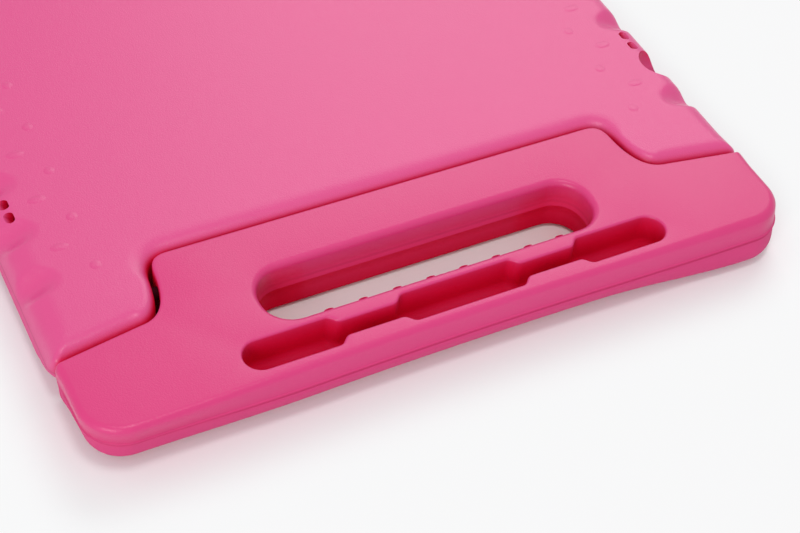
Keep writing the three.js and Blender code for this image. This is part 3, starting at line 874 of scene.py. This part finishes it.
def groove_outline():
    """The groove at its narrowest, before its lip and foot are rounded."""
    step = pocket_half - channel_half
    end = groove_half - end_pocket
    quarter = np.vstack([
        [[0, pocket_half], [middle_pocket - step, pocket_half]],
        bezier((middle_pocket - step, pocket_half), (middle_pocket - 0.2 * step, pocket_half),
               (middle_pocket - 0.2 * step, channel_half), (middle_pocket + 0.7 * step, channel_half)),
        bezier((end - 0.7 * step, channel_half), (end + 0.2 * step, channel_half),
               (end + 0.2 * step, pocket_half), (end + step, pocket_half)),
        fillet((groove_half, pocket_half), (0, pocket_half), (groove_half, 0), pocket_half)])
    right = np.vstack([quarter, quarter[::-1][1:] * [1, -1]])[::-1]
    return even(mirrored(right)[1:-1], 0.9)


groove = groove_outline()
groove_out = outwards(groove)
groove = groove + [row_x + 1.0, seam_y - groove_from_seam]
groove_floor = thickness - groove_depth
groove_rings = []
for z in round_levels(groove_floor, thickness, groove_foot, groove_lip, 5, 4):
    inset = drawn_in(groove_floor + groove_foot - z, groove_foot)
    flare = drawn_in(z - thickness + groove_lip, groove_lip)
    groove_rings.append(handle.ring(groove + groove_out * (flare - inset), z))
for lower, upper in zip(groove_rings, groove_rings[1:]):
    handle.band(upper, lower)
handle.fill(groove_rings[0], [], [], groove_floor)
handle.fill(back_ring, [slot_rings[-1], groove_rings[-1]], [], thickness)
handle.fill(front_ring, [slot_rings[0]], [], 0.0, upwards=False)
carry_handle = handle.mesh("foam_handle")
handle_foam = foam("handle_foam", handle_pink, painted_shade_pink, 0.37, 0.36)
dress(carry_handle, handle_foam, "handle", "handle_foam", "carry_handle")
sharpen(carry_handle, crisp_from)


# Finger nubs
# Eight upright ribs of the handle's own foam, moulded with it on the slot's near wall.
# They keep fingers from sliding. One row is laid out by geometry nodes from its pitch.

nub_count, nub_pitch = 8, 14.1
nub_half_width, nub_proud = 1.9, 0.55
nub_foot, nub_head, nub_below_back = 2, 1.2, 1.5
# The nubs' painted shade, a milder deep red, mixed in where they are closed in by the slot.
nub_painted_shade = (0.64, 0.02, 0.10)


def nub(name):
    """A half-round rib with a soft foot and a shallow cup in its head.

    Its middle is where the slot's wall stands.
    """
    skin = Skin()
    around = np.linspace(0, 2 * math.pi, 24, endpoint=False)
    bottom, top = slot_round, thickness - nub_below_back
    plans, heights = [], []
    for angle in np.linspace(0, math.pi / 2, 7)[1:]:
        heights.append(bottom + nub_foot * (1 - math.cos(angle)))
        plans.append(math.sin(angle))
    # The head's widest ring comes first, then its rim, and the others run down into the cup
    for angle in np.linspace(math.pi / 2, 0, 7)[:-1]:
        heights.append(top - nub_head * (1 - math.sin(angle)) if angle < math.pi / 2 else top - nub_head)
        plans.append(math.cos(math.pi / 2 - angle))
    shape = np.column_stack([nub_half_width * np.cos(around), nub_proud * np.sin(around)])
    low, high = skin.rings([shape * share for share in plans], heights)
    skin.fill(low, [], [], heights[0], upwards=False)
    skin.fill(high, [], [], heights[-1])
    return skin.mesh(name)


ribs, (count, rib_pitch, first_rib, rib, foam_slot) = geometry_group("ribs", [
    ("Count", "NodeSocketInt"), ("Pitch", "NodeSocketFloat"), ("First", "NodeSocketVector"),
    ("Rib", "NodeSocketObject"), ("Material", "NodeSocketMaterial")])
step = ribs.add("ShaderNodeCombineXYZ", {}, {"X": rib_pitch})
row = ribs.add("GeometryNodeRealizeInstances", {}, {"Geometry": row_of(ribs, rib, count, first_rib, step)})
row = ribs.add("GeometryNodeSetMaterial", {}, {"Geometry": row, "Material": foam_slot})
ribs.add("NodeGroupOutput", {}, {"Geometry": row})
nub_foam = foam("nub_foam", handle_pink, nub_painted_shade, 0.37, 0.36)
nub_master = nub("nub")
first_nub = Vector((row_x - (nub_count - 1) / 2 * nub_pitch, seam_y - slot_from_seam - slot_half_width, 0))
grown("finger_nubs", ribs, {
    "Count": nub_count, "Pitch": nub_pitch * MM, "First": first_nub * MM, "Rib": nub_master,
    "Material": nub_foam}, "handle", "handle_foam", nub_foam, [nub_master])


# Floor and lights
# A white paper sweep under three soft boxes and an even sky. None of it belongs to the case.
# Away from the case the camera sees plain white paper, and near the case the paper keeps the shadow.

shadow_reach = 0.034
floor_drop = 0.0002
sweep, shader = material_graph("white_sweep")
paper = shader.add("ShaderNodeBsdfPrincipled", {}, {
    "Base Color": (0.83, 0.86, 0.86, 1), "Roughness": 0.9, "Specular IOR Level": 0.1})
glow = shader.add("ShaderNodeEmission", {}, {"Color": (0.94, 0.94, 0.945, 1)})
seen = shader.add("ShaderNodeLightPath", {}, output="Is Camera Ray")
place = shader.add("ShaderNodeTexCoord", output=3)
apart = shader.add("ShaderNodeVectorMath", {"operation": "ABSOLUTE"}, {0: place})
apart = shader.add("ShaderNodeVectorMath", {"operation": "SUBTRACT"}, {
    0: apart, 1: (shell_half * MM, shell_far * MM, 1)})
apart = shader.add("ShaderNodeVectorMath", {"operation": "MAXIMUM"}, {0: apart, 1: (0, 0, 0)})
apart = shader.add("ShaderNodeVectorMath", {"operation": "LENGTH"}, {0: apart}, output=1)
clear = shader.add("ShaderNodeMapRange", {"interpolation_type": "SMOOTHSTEP"}, {
    "Value": apart, "From Min": 0.0, "From Max": shadow_reach, "To Min": 0.0, "To Max": 0.97})
paper = shader.add("ShaderNodeMixShader", {}, {0: seen * clear, 1: paper, 2: glow})
shader.add("ShaderNodeOutputMaterial", {}, {"Surface": paper})
bpy.ops.mesh.primitive_plane_add(size=12, location=(0, 0, -floor_drop))
floor = bpy.context.object
floor.name = "floor"
floor.data.materials.append(sweep)

world = bpy.data.worlds.new("daylight")
bpy.context.scene.world = world
world.use_nodes = True
sky = world.node_tree.nodes["Background"]
sky.inputs["Color"].default_value = (1, 1, 1, 1)
sky.inputs["Strength"].default_value = 0.65


def lamp(name, place, aim, size, watts):
    """A square soft box at a place, facing the point that it aims at."""
    data = bpy.data.lights.new(name, "AREA")
    data.shape = "SQUARE"
    data.size = size
    data.energy = watts
    thing = bpy.data.objects.new(name, data)
    bpy.context.scene.collection.objects.link(thing)
    away = Vector(place) - Vector(aim)
    thing.matrix_world = Matrix.Translation(place) @ away.to_track_quat("Z", "Y").to_matrix().to_4x4()


lamp("key", (0.95, 1.2, 1.29), (0, -0.05, 0), 1.3, 12.6)
lamp("fill", (-1.4, -1.3, 0.9), (0, -0.1, 0), 0.8, 15.5)
lamp("overhead", (-0.1, -0.3, 1.5), (-0.05, -0.1, 0), 0.25, 4.4)

bpy.context.scene.view_settings.view_transform = "Standard"
